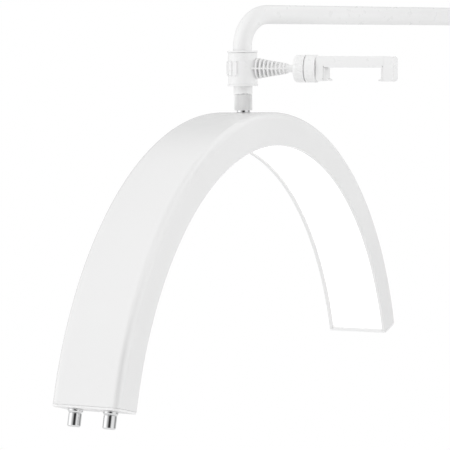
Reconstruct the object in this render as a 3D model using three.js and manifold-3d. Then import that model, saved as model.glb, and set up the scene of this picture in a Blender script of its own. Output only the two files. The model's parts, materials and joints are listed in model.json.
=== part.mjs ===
// Half-moon LED floor lamp with a phone holder.
// Millimetres, +Z up, origin on the floor below the mast's axis.
// The lamp head's chord runs along X and its front faces -Y.

import * as THREE from 'three';
import { mergeVertices } from 'three/addons/utils/BufferGeometryUtils.js';
import Module from 'manifold-3d';

const wasm = await Module();
wasm.setup();

const degrees = THREE.MathUtils.degToRad;

// ---------------------------------------------------------------- driving dimensions

const GAP = 0.3;

// Lamp head: a C-section channel bent to an arc
const HEAD_RADIUS = 390;
const HEAD_WIDTH = 80;
const HEAD_DEPTH = 39;
const HEAD_HALF_ANGLE = degrees(74.85);
const HEAD_CORNER = 8;
const HEAD_WALL = 2;
const LIP_WIDTH = 5;
const LIP_THICK = 2.5;
const DIFFUSER_THICK = 1.8;
const TRAY_DEPTH = 14;
const CAP_THICK = 2.4;
const CAP_INSET = 0.25;
const CAP_GAP = 0.35;
const KNOB_SPACING = 41;
const HEAD_STEPS = 30;

// Stack above the head's apex
const STUD_RADIUS = 7.75;
const NUT_RADIUS = 10.5;
const NUT_BOTTOM = 2.4;
const NUT_TOP = 21.2;
const TUBE_BOTTOM = 21.6;
const CLIP_BOTTOM = 30.5;
const CLIP_TOP = 71.4;
const ARM_ABOVE_APEX = 113.5;

// Arm tube
const TUBE_RADIUS = 11;
const TUBE_WALL = 1.5;
const BEND_RADIUS = 38;
const ARM_YAW = degrees(154.2);
const ARM_REACH = 600;
const ARM_TAIL = 170;
const ARM_HEIGHT = 1500;

// Phone holder, measured along its own axis from the arm tube's axis
const HOLDER_YAW = degrees(-80.8);
const HOLDER_HEIGHT = 51;
const HOLDER_DROOP = degrees(1.1);
const SLEEVE_RADIUS = 17;
const FIN_COUNT = 8;
const FIN_PITCH = 4.6;
const BALL_CENTRE = 74;
const BALL_RADIUS = 9;
const HOLDER_NUT_RADIUS = 15.8;
const NUT_REAR = 63;
const NUT_FRONT = 76.2;
const CUP_FRONT = 89.4;
const CRADLE_START = 90;
const JAW_INNER = 99;
const JAW_GAP = 70;
const JAW_END = 181;
const BAR_LOW = 1.4;
const BAR_HIGH = 14.4;
const JAW_LOW = -14.1;
const CRADLE_CORNER = 5;
const JAW_CORNER = 3.5;
const PAD_SHEET = 2.5;
const PAD_LIP = 3;
const CRADLE_DEPTH = 24;

// Stand
const BASE_LENGTH = 420;
const BASE_WIDTH = 290;
const BASE_THICK = 8;
const BASE_OFFSET = 90;
const PAD_THICK = 2;
const LOWER_POLE_RADIUS = 16;
const LOWER_POLE_TOP = 840;
const UPPER_POLE_RADIUS = 12.5;
const UPPER_POLE_FOOT = 480;
const POLE_WALL = 1.5;

// ---------------------------------------------------------------- materials

const finish = (color, roughness, metalness) => ({ color, roughness, metalness });

const WHITE_PLASTIC = finish(0xf2f2f1, 0.45, 0);
const WHITE_PAINT = finish(0xf0f0ef, 0.35, 0.1);
const OPAL = finish(0xffffff, 0.5, 0);
const CHROME = finish(0xd9dadb, 0.12, 1);
const BLACK_RUBBER = finish(0x202020, 0.9, 0);
const BLACK_PLASTIC = finish(0x262626, 0.5, 0);
const GREY_RUBBER = finish(0xd8d8d6, 0.85, 0);
const STEEL = finish(0xa8a9aa, 0.35, 1);
const ALUMINIUM = finish(0xc9cacc, 0.4, 1);
const BOARD_WHITE = finish(0xf4f4ea, 0.6, 0);
const BOARD_GREEN = finish(0x2f6b45, 0.6, 0);

// ---------------------------------------------------------------- shape helpers

// A closed triangle mesh as a solid, without the slivers that a lathe leaves on its axis.
function solidOf(geometry) {
  const bare = geometry.clone();
  bare.deleteAttribute('normal');
  bare.deleteAttribute('uv');
  const merged = mergeVertices(bare, 1e-4);
  const index = merged.index.array;
  const triangles = [];
  for (let i = 0; i < index.length; i += 3) {
    const [a, b, c] = [index[i], index[i + 1], index[i + 2]];
    if (a !== b && b !== c && c !== a) triangles.push(a, b, c);
  }
  const vertProperties = Float32Array.from(merged.attributes.position.array);
  const triVerts = Uint32Array.from(triangles);
  return new wasm.Manifold(new wasm.Mesh({ numProp: 3, vertProperties, triVerts }));
}

function geometryOf(solid) {
  const { vertProperties, triVerts } = solid.getMesh();
  const geometry = new THREE.BufferGeometry();
  geometry.setAttribute('position', new THREE.BufferAttribute(Float32Array.from(vertProperties), 3));
  geometry.setIndex(new THREE.BufferAttribute(Uint32Array.from(triVerts), 1));
  geometry.computeVertexNormals();
  return geometry;
}

const cut = (body, ...tools) =>
  geometryOf(tools.reduce((left, tool) => left.subtract(solidOf(tool)), solidOf(body)));

const join = (body, ...more) =>
  geometryOf(more.reduce((sum, piece) => sum.add(solidOf(piece)), solidOf(body)));

// A profile of [radius, height] points turned about Z. It runs from the axis out, up and back,
// or, with closed set, round a ring's section the same way.
function turned(profile, segments = 24, closed = false) {
  const points = profile.map(([r, z]) => new THREE.Vector2(r, z));
  if (closed) points.push(points[0].clone());
  return new THREE.LatheGeometry(points, segments).rotateX(Math.PI / 2);
}

const rod = (radius, low, high, chamfer = 0, segments = 24) =>
  turned(
    chamfer
      ? [[0, low], [radius - chamfer, low], [radius, low + chamfer],
         [radius, high - chamfer], [radius - chamfer, high], [0, high]]
      : [[0, low], [radius, low], [radius, high], [0, high]],
    segments,
  );

const pipe = (outer, inner, low, high, segments = 24) =>
  turned([[inner, low], [outer, low], [outer, high], [inner, high]], segments, true);

const box = (x0, x1, y0, y1, z0, z1) =>
  new THREE.BoxGeometry(x1 - x0, y1 - y0, z1 - z0)
    .translate((x0 + x1) / 2, (y0 + y1) / 2, (z0 + z1) / 2);

function roundedRectangle(x0, x1, y0, y1, radius, right = radius) {
  const shape = new THREE.Shape();
  shape.moveTo(x0 + radius, y0);
  shape.lineTo(x1 - right, y0);
  shape.absarc(x1 - right, y0 + right, right, -Math.PI / 2, 0, false);
  shape.lineTo(x1, y1 - right);
  shape.absarc(x1 - right, y1 - right, right, 0, Math.PI / 2, false);
  shape.lineTo(x0 + radius, y1);
  shape.absarc(x0 + radius, y1 - radius, radius, Math.PI / 2, Math.PI, false);
  shape.lineTo(x0, y0 + radius);
  shape.absarc(x0 + radius, y0 + radius, radius, Math.PI, 1.5 * Math.PI, false);
  return shape;
}

const roundHole = (x, y, radius) => new THREE.Path().absarc(x, y, radius, 0, 2 * Math.PI, true);

const slab = (shape, low, high, curveSegments = 5) =>
  new THREE.ExtrudeGeometry(shape, { depth: high - low, bevelEnabled: false, curveSegments })
    .translate(0, 0, low);

// Lies along X instead of Z, for pieces on the phone holder's axis.
const alongX = (geometry) => geometry.rotateY(Math.PI / 2);

// A path whose stations are spaced by hand, so that straight runs need few of them.
class StationPath extends THREE.Curve {
  constructor(stations) {
    super();
    this.stations = stations;
  }

  stationAt(t) {
    const last = this.stations.length - 1;
    return this.stations[Math.min(last, Math.max(0, Math.round(t * last)))];
  }

  getPoint(t, target = new THREE.Vector3()) {
    return target.copy(this.stationAt(t).point);
  }

  getPointAt(t, target) {
    return this.getPoint(t, target);
  }

  getTangentAt(t, target = new THREE.Vector3()) {
    return target.copy(this.stationAt(t).tangent);
  }
}

const extrudeAlong = (shape, stations, curveSegments = 5) =>
  new THREE.ExtrudeGeometry(shape, {
    extrudePath: new StationPath(stations),
    steps: stations.length - 1,
    bevelEnabled: false,
    curveSegments,
  });

// Stations on the head's outer arc, from angle a0 to a1 measured from the apex. A section swept
// along them has x towards the front (-Y) and y inwards to the arc's centre.
function headStations(a0, a1, steps) {
  return Array.from({ length: steps + 1 }, (_, i) => {
    const a = a0 + (a1 - a0) * (i / steps);
    return {
      point: new THREE.Vector3(HEAD_RADIUS * Math.sin(a), 0, HEAD_RADIUS * Math.cos(a)),
      tangent: new THREE.Vector3(Math.cos(a), 0, -Math.sin(a)),
    };
  });
}

// ---------------------------------------------------------------- scene graph helpers

const lamp = new THREE.Group();

function frameIn(parent, position, yaw = 0) {
  const group = new THREE.Group();
  group.position.set(...position);
  group.rotation.z = yaw;
  parent.add(group);
  return group;
}

function piece(parent, name, look, geometry) {
  const mesh = new THREE.Mesh(geometry, new THREE.MeshStandardMaterial(look));
  mesh.name = name;
  parent.add(mesh);
  return mesh;
}

// ---------------------------------------------------------------- stand

// The stand's X points from the mast towards the lamp head.
const stand = frameIn(lamp, [0, 0, 0], ARM_YAW);
const PLATE_LOW = PAD_THICK + GAP;
const PLATE_TOP = PLATE_LOW + BASE_THICK;
const BUSH_RADIUS = LOWER_POLE_RADIUS - POLE_WALL - GAP;
const STEM_RADIUS = 3;
const STEM_BORE = STEM_RADIUS + GAP;

function footprint(inset, radius) {
  return roundedRectangle(
    BASE_OFFSET - BASE_LENGTH / 2 + inset,
    BASE_OFFSET + BASE_LENGTH / 2 - inset,
    -BASE_WIDTH / 2 + inset,
    BASE_WIDTH / 2 - inset,
    radius,
  );
}

function starKnob(radius, low, high, stemLow) {
  const lobes = 6;
  const steps = 36;
  const outline = Array.from({ length: steps }, (_, i) => {
    const a = (2 * Math.PI * i) / steps;
    const r = radius * (0.9 + 0.1 * Math.cos(lobes * a));
    return new THREE.Vector2(r * Math.cos(a), r * Math.sin(a));
  });
  const head = slab(new THREE.Shape(outline), low, high);
  return join(head, rod(STEM_RADIUS, stemLow, low + 1, 0, 16));
}

function addStand() {
  const screwCircle = 29;
  const flangeScrews = 3;
  piece(stand, 'base_pad', BLACK_RUBBER, slab(footprint(6, 24), 0, PAD_THICK));
  piece(stand, 'base_plate', WHITE_PAINT, slab(footprint(0, 30), PLATE_LOW, PLATE_TOP));
  const flangeLow = PLATE_TOP + GAP;
  const flange = turned(
    [[LOWER_POLE_RADIUS + GAP, flangeLow], [38, flangeLow], [38, flangeLow + 5],
     [22, flangeLow + 8], [20, flangeLow + 28], [LOWER_POLE_RADIUS + GAP, flangeLow + 28]],
    24, true,
  );
  const holes = [];
  for (let i = 0; i < flangeScrews; i++) {
    const a = (2 * Math.PI * i) / flangeScrews;
    const [x, y] = [screwCircle * Math.cos(a), screwCircle * Math.sin(a)];
    holes.push(rod(2.6, flangeLow - 1, flangeLow + 20, 0, 12).translate(x, y, 0));
    const screw = turned(
      [[0, flangeLow + 0.2], [2.2, flangeLow + 0.2], [2.2, flangeLow + 7.9], [4.2, flangeLow + 7.9],
       [4.2, flangeLow + 9.9], [3, flangeLow + 11.2], [0, flangeLow + 11.2]],
      12,
    );
    piece(stand, `flange_screw_${i + 1}`, STEEL, screw.translate(x, y, 0));
  }
  piece(stand, 'pole_flange', WHITE_PAINT, cut(flange, ...holes));
  piece(stand, 'lower_pole', WHITE_PAINT,
    pipe(LOWER_POLE_RADIUS, LOWER_POLE_RADIUS - POLE_WALL, flangeLow + 0.2, LOWER_POLE_TOP));

  const collarLow = LOWER_POLE_TOP - 42;
  const collarTop = LOWER_POLE_TOP + 8;
  const stemAt = LOWER_POLE_TOP - 20;
  const [lowerBore, upperBore] = [LOWER_POLE_RADIUS + GAP, UPPER_POLE_RADIUS + GAP];
  const shoulder = LOWER_POLE_TOP + 0.6;
  const knobHole = rod(STEM_BORE, 0, 40, 0, 16).rotateY(-Math.PI / 2).translate(0, 0, stemAt);
  const collar = turned(
    [[lowerBore, collarLow], [20.5, collarLow], [21.5, collarLow + 1], [21.5, collarTop - 3],
     [18.5, collarTop], [upperBore, collarTop], [upperBore, shoulder], [lowerBore, shoulder]],
    24, true,
  );
  piece(stand, 'height_collar', WHITE_PLASTIC, cut(collar, knobHole));
  piece(stand, 'height_bush', BLACK_PLASTIC,
    pipe(BUSH_RADIUS, UPPER_POLE_RADIUS + GAP, LOWER_POLE_TOP - 60, LOWER_POLE_TOP - 0.4));
  const knob = starKnob(15, 24, 38, LOWER_POLE_RADIUS + GAP);
  piece(stand, 'height_lock_knob', BLACK_PLASTIC, knob.rotateY(-Math.PI / 2).translate(0, 0, stemAt));
}

function addMast() {
  const top = ARM_HEIGHT - 23;
  piece(stand, 'upper_pole', CHROME,
    pipe(UPPER_POLE_RADIUS, UPPER_POLE_RADIUS - POLE_WALL, UPPER_POLE_FOOT, top));
  piece(stand, 'mast_foot_bush', BLACK_PLASTIC,
    pipe(BUSH_RADIUS, UPPER_POLE_RADIUS + GAP, UPPER_POLE_FOOT + 4, UPPER_POLE_FOOT + 44));
}

// ---------------------------------------------------------------- boom clamp and arm

const boom = frameIn(lamp, [0, 0, ARM_HEIGHT], ARM_YAW);

function addBoomClamp() {
  const halfLength = 27;
  const halfWidth = 23;
  const bore = TUBE_RADIUS + GAP;
  const socketLow = -78;
  const screwY = 18.2;
  const shelf = 9;
  const split = 0.3;
  const swivelKnobLow = -54;
  const alongArm = (shape) =>
    slab(shape, -halfLength, halfLength, 10).rotateX(Math.PI / 2).rotateZ(Math.PI / 2);

  const saddle = new THREE.Shape();
  saddle.moveTo(-halfWidth, -split);
  saddle.lineTo(-halfWidth, -12);
  saddle.quadraticCurveTo(-halfWidth, -20, -halfWidth + 8, -20);
  saddle.lineTo(halfWidth - 8, -20);
  saddle.quadraticCurveTo(halfWidth, -20, halfWidth, -12);
  saddle.lineTo(halfWidth, -split);
  saddle.lineTo(bore, -split);
  saddle.absarc(0, 0, bore, 0, -Math.PI, true);
  const socket = turned([[0, socketLow], [19, socketLow], [20.5, socketLow + 2], [20.5, -18], [0, -18]], 24);
  const poleBore = rod(UPPER_POLE_RADIUS + GAP, socketLow - 5, -22.4, 0, 24);
  const knobHole = rod(STEM_BORE, 0, 40, 0, 16);
  const knobBore = knobHole.rotateY(-Math.PI / 2).translate(0, 0, swivelKnobLow);
  const screwHoles = [-1, 1].map((side) => rod(2.8, -16, 20, 0, 12).translate(0, side * screwY, 0));
  piece(boom, 'boom_clamp_body', WHITE_PLASTIC,
    cut(join(alongArm(saddle), socket), poleBore, knobBore, ...screwHoles));

  const cap = new THREE.Shape();
  cap.moveTo(bore, split);
  cap.lineTo(halfWidth, split);
  cap.lineTo(halfWidth, shelf);
  cap.lineTo(14, shelf);
  cap.quadraticCurveTo(13, 19, 5, 19);
  cap.lineTo(-5, 19);
  cap.quadraticCurveTo(-13, 19, -14, shelf);
  cap.lineTo(-halfWidth, shelf);
  cap.lineTo(-halfWidth, split);
  cap.lineTo(-bore, split);
  cap.absarc(0, 0, bore, Math.PI, 0, true);
  const lockBore = rod(STEM_BORE, 5, 30, 0, 16);
  piece(boom, 'boom_clamp_cap', WHITE_PLASTIC, cut(alongArm(cap), lockBore, ...screwHoles));
  [-1, 1].forEach((side, i) => {
    const screw = turned(
      [[0, -15], [2.4, -15], [2.4, shelf + 0.3], [4, shelf + 0.3], [4, shelf + 4],
       [3.4, shelf + 4.7], [0, shelf + 4.7]],
      12,
    );
    piece(boom, `boom_cap_screw_${i + 1}`, STEEL, screw.translate(0, side * screwY, 0));
  });
  piece(boom, 'reach_lock_knob', BLACK_PLASTIC, starKnob(14, 22, 36, TUBE_RADIUS + GAP));
  const swivelKnob = starKnob(14, 24, 37, UPPER_POLE_RADIUS + GAP);
  piece(boom, 'swivel_lock_knob', BLACK_PLASTIC,
    swivelKnob.rotateY(-Math.PI / 2).translate(0, 0, swivelKnobLow));
}

function addArm() {
  const bendSteps = 9;
  const dropEnd = TUBE_BOTTOM - ARM_ABOVE_APEX;
  const bendStart = ARM_REACH - BEND_RADIUS;
  const level = new THREE.Vector3(1, 0, 0);
  const straight = [-ARM_TAIL, -60, 60, 220, 380];
  const stations = straight.map((x) => ({ point: new THREE.Vector3(x, 0, 0), tangent: level }));
  for (let i = 0; i <= bendSteps; i++) {
    const a = (Math.PI / 2) * (i / bendSteps);
    stations.push({
      point: new THREE.Vector3(bendStart + BEND_RADIUS * Math.sin(a), 0, BEND_RADIUS * (Math.cos(a) - 1)),
      tangent: new THREE.Vector3(Math.cos(a), 0, -Math.sin(a)),
    });
  }
  stations.push({ point: new THREE.Vector3(ARM_REACH, 0, dropEnd), tangent: new THREE.Vector3(0, 0, -1) });
  const section = new THREE.Shape().absarc(0, 0, TUBE_RADIUS, 0, 2 * Math.PI, false);
  section.holes.push(roundHole(0, 0, TUBE_RADIUS - TUBE_WALL));
  piece(boom, 'arm_tube', WHITE_PAINT, extrudeAlong(section, stations, 10));

  const plugInner = TUBE_RADIUS - TUBE_WALL - GAP;
  const plug = turned(
    [[0, -16], [plugInner, -16], [plugInner, GAP], [TUBE_RADIUS, GAP], [TUBE_RADIUS, 2],
     [TUBE_RADIUS - 2, 4], [0, 4]],
    24,
  );
  piece(boom, 'arm_end_plug', WHITE_PLASTIC, plug.rotateY(-Math.PI / 2).translate(-ARM_TAIL, 0, 0));
}

// ---------------------------------------------------------------- lamp head

const headX = ARM_REACH * Math.cos(ARM_YAW);
const headY = ARM_REACH * Math.sin(ARM_YAW);
const apexZ = ARM_HEIGHT - ARM_ABOVE_APEX;
const head = frameIn(lamp, [headX, headY, apexZ - HEAD_RADIUS]);
const neck = frameIn(lamp, [headX, headY, apexZ]);

const HALF_WIDTH = HEAD_WIDTH / 2;
const HALF_INNER = HALF_WIDTH - HEAD_WALL;
const INNER_RADIUS = HEAD_RADIUS - HEAD_DEPTH;
const MID_RADIUS = HEAD_RADIUS - HEAD_DEPTH / 2;
const SHELL_HALF_ANGLE = HEAD_HALF_ANGLE - (CAP_THICK + CAP_GAP) / INNER_RADIUS;
const LIP_BACK = HEAD_DEPTH - LIP_THICK;
const SADDLE_SCREWS = [-20, 20];
const SADDLE_BORE = 2.3;

function shellSection() {
  const inner = HEAD_CORNER - HEAD_WALL;
  const corner = HALF_WIDTH - HEAD_CORNER;
  const shape = new THREE.Shape();
  shape.moveTo(-corner, 0);
  shape.lineTo(corner, 0);
  shape.absarc(corner, HEAD_CORNER, HEAD_CORNER, -Math.PI / 2, 0, false);
  shape.lineTo(HALF_WIDTH, HEAD_DEPTH);
  shape.lineTo(HALF_WIDTH - LIP_WIDTH, HEAD_DEPTH);
  shape.lineTo(HALF_WIDTH - LIP_WIDTH, LIP_BACK);
  shape.lineTo(HALF_INNER, LIP_BACK);
  shape.lineTo(HALF_INNER, HEAD_CORNER);
  shape.absarc(corner, HEAD_CORNER, inner, 0, -Math.PI / 2, true);
  shape.lineTo(-corner, HEAD_WALL);
  shape.absarc(-corner, HEAD_CORNER, inner, -Math.PI / 2, -Math.PI, true);
  shape.lineTo(-HALF_INNER, LIP_BACK);
  shape.lineTo(-HALF_WIDTH + LIP_WIDTH, LIP_BACK);
  shape.lineTo(-HALF_WIDTH + LIP_WIDTH, HEAD_DEPTH);
  shape.lineTo(-HALF_WIDTH, HEAD_DEPTH);
  shape.lineTo(-HALF_WIDTH, HEAD_CORNER);
  shape.absarc(-corner, HEAD_CORNER, HEAD_CORNER, Math.PI, 1.5 * Math.PI, false);
  return shape;
}

function strip(halfWidth, near, far) {
  const shape = new THREE.Shape();
  shape.moveTo(-halfWidth, near);
  shape.lineTo(halfWidth, near);
  shape.lineTo(halfWidth, far);
  shape.lineTo(-halfWidth, far);
  return shape;
}

function traySection() {
  const outer = HALF_INNER - GAP;
  const wall = 1;
  const rim = LIP_BACK - DIFFUSER_THICK - GAP - 0.9;
  const shape = new THREE.Shape();
  shape.moveTo(-outer, TRAY_DEPTH);
  shape.lineTo(outer, TRAY_DEPTH);
  shape.lineTo(outer, rim);
  shape.lineTo(outer - wall, rim);
  shape.lineTo(outer - wall, TRAY_DEPTH + wall);
  shape.lineTo(-outer + wall, TRAY_DEPTH + wall);
  shape.lineTo(-outer + wall, rim);
  shape.lineTo(-outer, rim);
  return shape;
}

// Two rows of surface-mounted light sources on a strip, as one soldered board.
function ledBoard(a0, a1) {
  const ledsPerRow = 14;
  const near = TRAY_DEPTH + 1 + GAP;
  const far = near + 1.2;
  const board = extrudeAlong(strip(24, near, far), headStations(a0, a1, 14));
  const leds = [];
  for (let i = 0; i < ledsPerRow; i++) {
    const a = a0 + (a1 - a0) * ((i + 0.5) / ledsPerRow);
    for (const y of [-14, 14]) {
      const low = HEAD_RADIUS - far - 0.9;
      leds.push(box(-1.75, 1.75, y - 1.4, y + 1.4, low, low + 1.1).rotateY(a));
    }
  }
  return join(board, ...leds);
}

function addHeadShell() {
  const studHole = rod(5.6, HEAD_RADIUS - 12, HEAD_RADIUS + 5, 0, 16);
  const shellStations = headStations(-SHELL_HALF_ANGLE, SHELL_HALF_ANGLE, HEAD_STEPS);
  const shell = extrudeAlong(shellSection(), shellStations, 4);
  piece(head, 'housing_shell', WHITE_PLASTIC, cut(shell, studHole));

  const diffuserFar = LIP_BACK - GAP;
  piece(head, 'diffuser', OPAL, extrudeAlong(
    strip(HALF_INNER - GAP, diffuserFar - DIFFUSER_THICK, diffuserFar),
    shellStations,
  ));

  const trayHalfAngle = SHELL_HALF_ANGLE - degrees(2.6);
  const tray = extrudeAlong(traySection(), headStations(-trayHalfAngle, trayHalfAngle, HEAD_STEPS));
  const hole = (x) => rod(SADDLE_BORE, HEAD_RADIUS - 30, HEAD_RADIUS - 5, 0, 12).translate(x, 0, 0);
  piece(head, 'led_tray', ALUMINIUM, cut(tray, ...SADDLE_SCREWS.map(hole)));
  const boardStart = degrees(6);
  const boardEnd = trayHalfAngle - degrees(0.8);
  piece(head, 'led_board_left', BOARD_WHITE, ledBoard(-boardEnd, -boardStart));
  piece(head, 'led_board_right', BOARD_WHITE, ledBoard(boardStart, boardEnd));
}

function addHeadMounting() {
  const blockLow = HEAD_RADIUS - TRAY_DEPTH + 0.5;
  const blockTop = HEAD_RADIUS - 3.6;
  const block = box(-28, 28, -26, 26, blockLow, blockTop);
  const studBore = rod(5.3, blockLow - 1, blockTop + 1, 0, 16);
  const bore = (x) => rod(SADDLE_BORE, blockLow - 1, blockLow + 8, 0, 12).translate(x, 0, 0);
  piece(head, 'saddle_block', STEEL, cut(block, studBore, ...SADDLE_SCREWS.map(bore)));
  SADDLE_SCREWS.forEach((x, i) => {
    const under = HEAD_RADIUS - TRAY_DEPTH - 2.4;
    const screw = turned(
      [[0, under - 2.4], [2.8, under - 2.4], [3.8, under - 1.6], [3.8, under], [2, under],
       [2, blockLow + 6], [0, blockLow + 6]],
      12,
    );
    piece(head, `saddle_screw_${i + 1}`, STEEL, screw.translate(x, 0, 0));
  });
  // The stud screws into the saddle and its shoulder rests on the shell's apex.
  const shoulder = HEAD_RADIUS + GAP;
  const stud = turned(
    [[0, blockLow + 0.4], [5, blockLow + 0.4], [5, shoulder], [STUD_RADIUS, shoulder],
     [STUD_RADIUS, HEAD_RADIUS + NUT_BOTTOM + 1.6], [6, HEAD_RADIUS + NUT_BOTTOM + 1.6],
     [6, HEAD_RADIUS + 45], [5.2, HEAD_RADIUS + 46], [0, HEAD_RADIUS + 46]],
    24,
  );
  piece(head, 'neck_stud', CHROME, stud);

  // Driver electronics lie flat behind the tray, beside the saddle.
  const tilt = degrees(12);
  const boardLow = HEAD_RADIUS - TRAY_DEPTH + 0.8;
  const board = box(-36, 36, -22, 22, boardLow, boardLow + 1.6);
  const parts = [
    box(-30, -12, -14, 6, boardLow + 1, boardLow + 8),
    box(-4, 10, -16, 0, boardLow + 1, boardLow + 7),
    rod(5, boardLow + 1, boardLow + 8.4, 0.6, 12).translate(20, 8, 0),
    rod(4, boardLow + 1, boardLow + 7.5, 0.6, 12).translate(22, -10, 0),
    box(-6, 4, 6, 18, boardLow + 1, boardLow + 4),
  ];
  piece(head, 'driver_board', BOARD_GREEN, join(board, ...parts).rotateY(tilt));
}

// A leg end's frame: Z along the arc out of the leg, X to the arc's outside.
function legEnd(side) {
  const group = new THREE.Group();
  const angle = side * HEAD_HALF_ANGLE;
  const radial = new THREE.Vector3(Math.sin(angle), 0, Math.cos(angle));
  const out = new THREE.Vector3(side * Math.cos(angle), 0, -side * Math.sin(angle));
  const across = new THREE.Vector3().crossVectors(out, radial);
  group.position.copy(radial).multiplyScalar(MID_RADIUS);
  group.setRotationFromMatrix(new THREE.Matrix4().makeBasis(radial, across, out));
  head.add(group);
  return group;
}

// The outline of a leg's end, with rounded corners on the arc's outside.
function endOutline(inset, depthInset) {
  const outer = HEAD_DEPTH / 2 - inset;
  const innerEdge = HEAD_DEPTH / 2 - depthInset;
  const half = HALF_WIDTH - inset;
  const r = HEAD_CORNER - inset;
  const shape = new THREE.Shape();
  shape.moveTo(-innerEdge, -half);
  shape.lineTo(outer - r, -half);
  shape.absarc(outer - r, -half + r, r, -Math.PI / 2, 0, false);
  shape.lineTo(outer, half - r);
  shape.absarc(outer - r, half - r, r, 0, Math.PI / 2, false);
  shape.lineTo(-innerEdge, half);
  return shape;
}

function endCap(holes) {
  const spigotDepth = 8;
  const inset = HEAD_WALL + 0.45;
  const spigotInner = LIP_THICK + DIFFUSER_THICK + 3 * GAP;
  const spigotWall = 1.6;
  const plate = endOutline(CAP_INSET, CAP_INSET);
  plate.holes.push(...holes);
  const ring = endOutline(inset, spigotInner);
  const opening = endOutline(inset + spigotWall, spigotInner + spigotWall).getPoints(3);
  ring.holes.push(new THREE.Path(opening));
  // A bar across the channel's mouth frames the diffuser's end.
  const barDepth = -CAP_THICK - 2.6;
  const barHalf = HALF_WIDTH - LIP_WIDTH - GAP;
  const mouth = -HEAD_DEPTH / 2 + CAP_INSET;
  const bar = box(mouth, mouth + 1.9, -barHalf, barHalf, barDepth, -CAP_THICK + 1);
  const spigot = slab(ring, -CAP_THICK - spigotDepth, -CAP_THICK + 1, 3);
  return join(slab(plate, -CAP_THICK, 0, 8), spigot, bar);
}

function addDimmer(frame, name, y) {
  const pot = turned(
    [[0, -12], [8, -12], [8, -CAP_THICK - GAP], [4.2, -CAP_THICK - GAP], [4.2, 1.4], [3.2, 1.4],
     [3.2, -9.6], [0, -9.6]],
    20,
  );
  const bezel = turned(
    [[4.5, GAP], [7.8, GAP], [7.8, 2.2], [6.8, 3.8], [3.3, 3.8], [3.3, 1.8], [4.5, 1.8]],
    20, true,
  );
  const knob = turned(
    [[0, 13.4], [3.15, 13.4], [3.15, 4.1], [6.4, 4.1], [6.8, 4.5], [6.8, 17], [5.8, 18], [0, 18]],
    20,
  );
  piece(frame, `${name}_pot`, BLACK_PLASTIC, pot.translate(0, y, 0));
  piece(frame, `${name}_shaft`, STEEL, rod(2.9, -9.2, 13, 0.4, 16).translate(0, y, 0));
  piece(frame, `${name}_bezel`, CHROME, bezel.translate(0, y, 0));
  piece(frame, `${name}_knob`, CHROME, knob.translate(0, y, 0));
}

function addLegEnds() {
  const knobEnd = legEnd(-1);
  const places = [['dimmer', -KNOB_SPACING / 2], ['colour', KNOB_SPACING / 2]];
  const knobHoles = places.map(([, y]) => roundHole(0, y, 4.5));
  piece(knobEnd, 'knob_end_cap', WHITE_PLASTIC, endCap(knobHoles));
  for (const [name, y] of places) addDimmer(knobEnd, name, y);

  const inletEnd = legEnd(1);
  const inletX = HEAD_DEPTH / 2 - 8.6;
  piece(inletEnd, 'inlet_end_cap', WHITE_PLASTIC, endCap([roundHole(inletX, 0, 4.4)]));
  const inlet = turned(
    [[0, -14], [4.1, -14], [4.1, GAP], [5.8, GAP], [5.8, 1.2], [5.4, 1.6], [2.8, 1.6], [2.8, -9],
     [0, -9]],
    20,
  );
  piece(inletEnd, 'dc_inlet', BLACK_PLASTIC, inlet.translate(inletX, 0, 0));
}

// ---------------------------------------------------------------- neck

function addNeck() {
  const knurls = 30;
  const groove = 0.45;
  const outline = Array.from({ length: knurls * 2 }, (_, i) => {
    const a = (Math.PI * i) / knurls;
    const r = NUT_RADIUS - (i % 2) * groove;
    return new THREE.Vector2(r * Math.cos(a), r * Math.sin(a));
  });
  const ring = new THREE.Shape(outline);
  ring.holes.push(roundHole(0, 0, 6.3));
  const counterbore = rod(STUD_RADIUS + GAP, NUT_BOTTOM - 1, NUT_BOTTOM + 2, 0, 24);
  piece(neck, 'knurled_nut', CHROME, cut(slab(ring, NUT_BOTTOM, NUT_TOP, 12), counterbore));
  piece(neck, 'tube_end_insert', STEEL,
    pipe(TUBE_RADIUS - TUBE_WALL - GAP, 6.3, TUBE_BOTTOM + 0.4, TUBE_BOTTOM + 26));
}

// ---------------------------------------------------------------- phone holder

// The sleeve stands upright on the tube. All that it holds droops a little from it.
const clip = frameIn(neck, [0, 0, HOLDER_HEIGHT], HOLDER_YAW);
const holder = new THREE.Group();
holder.rotation.y = HOLDER_DROOP;
clip.add(holder);

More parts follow.
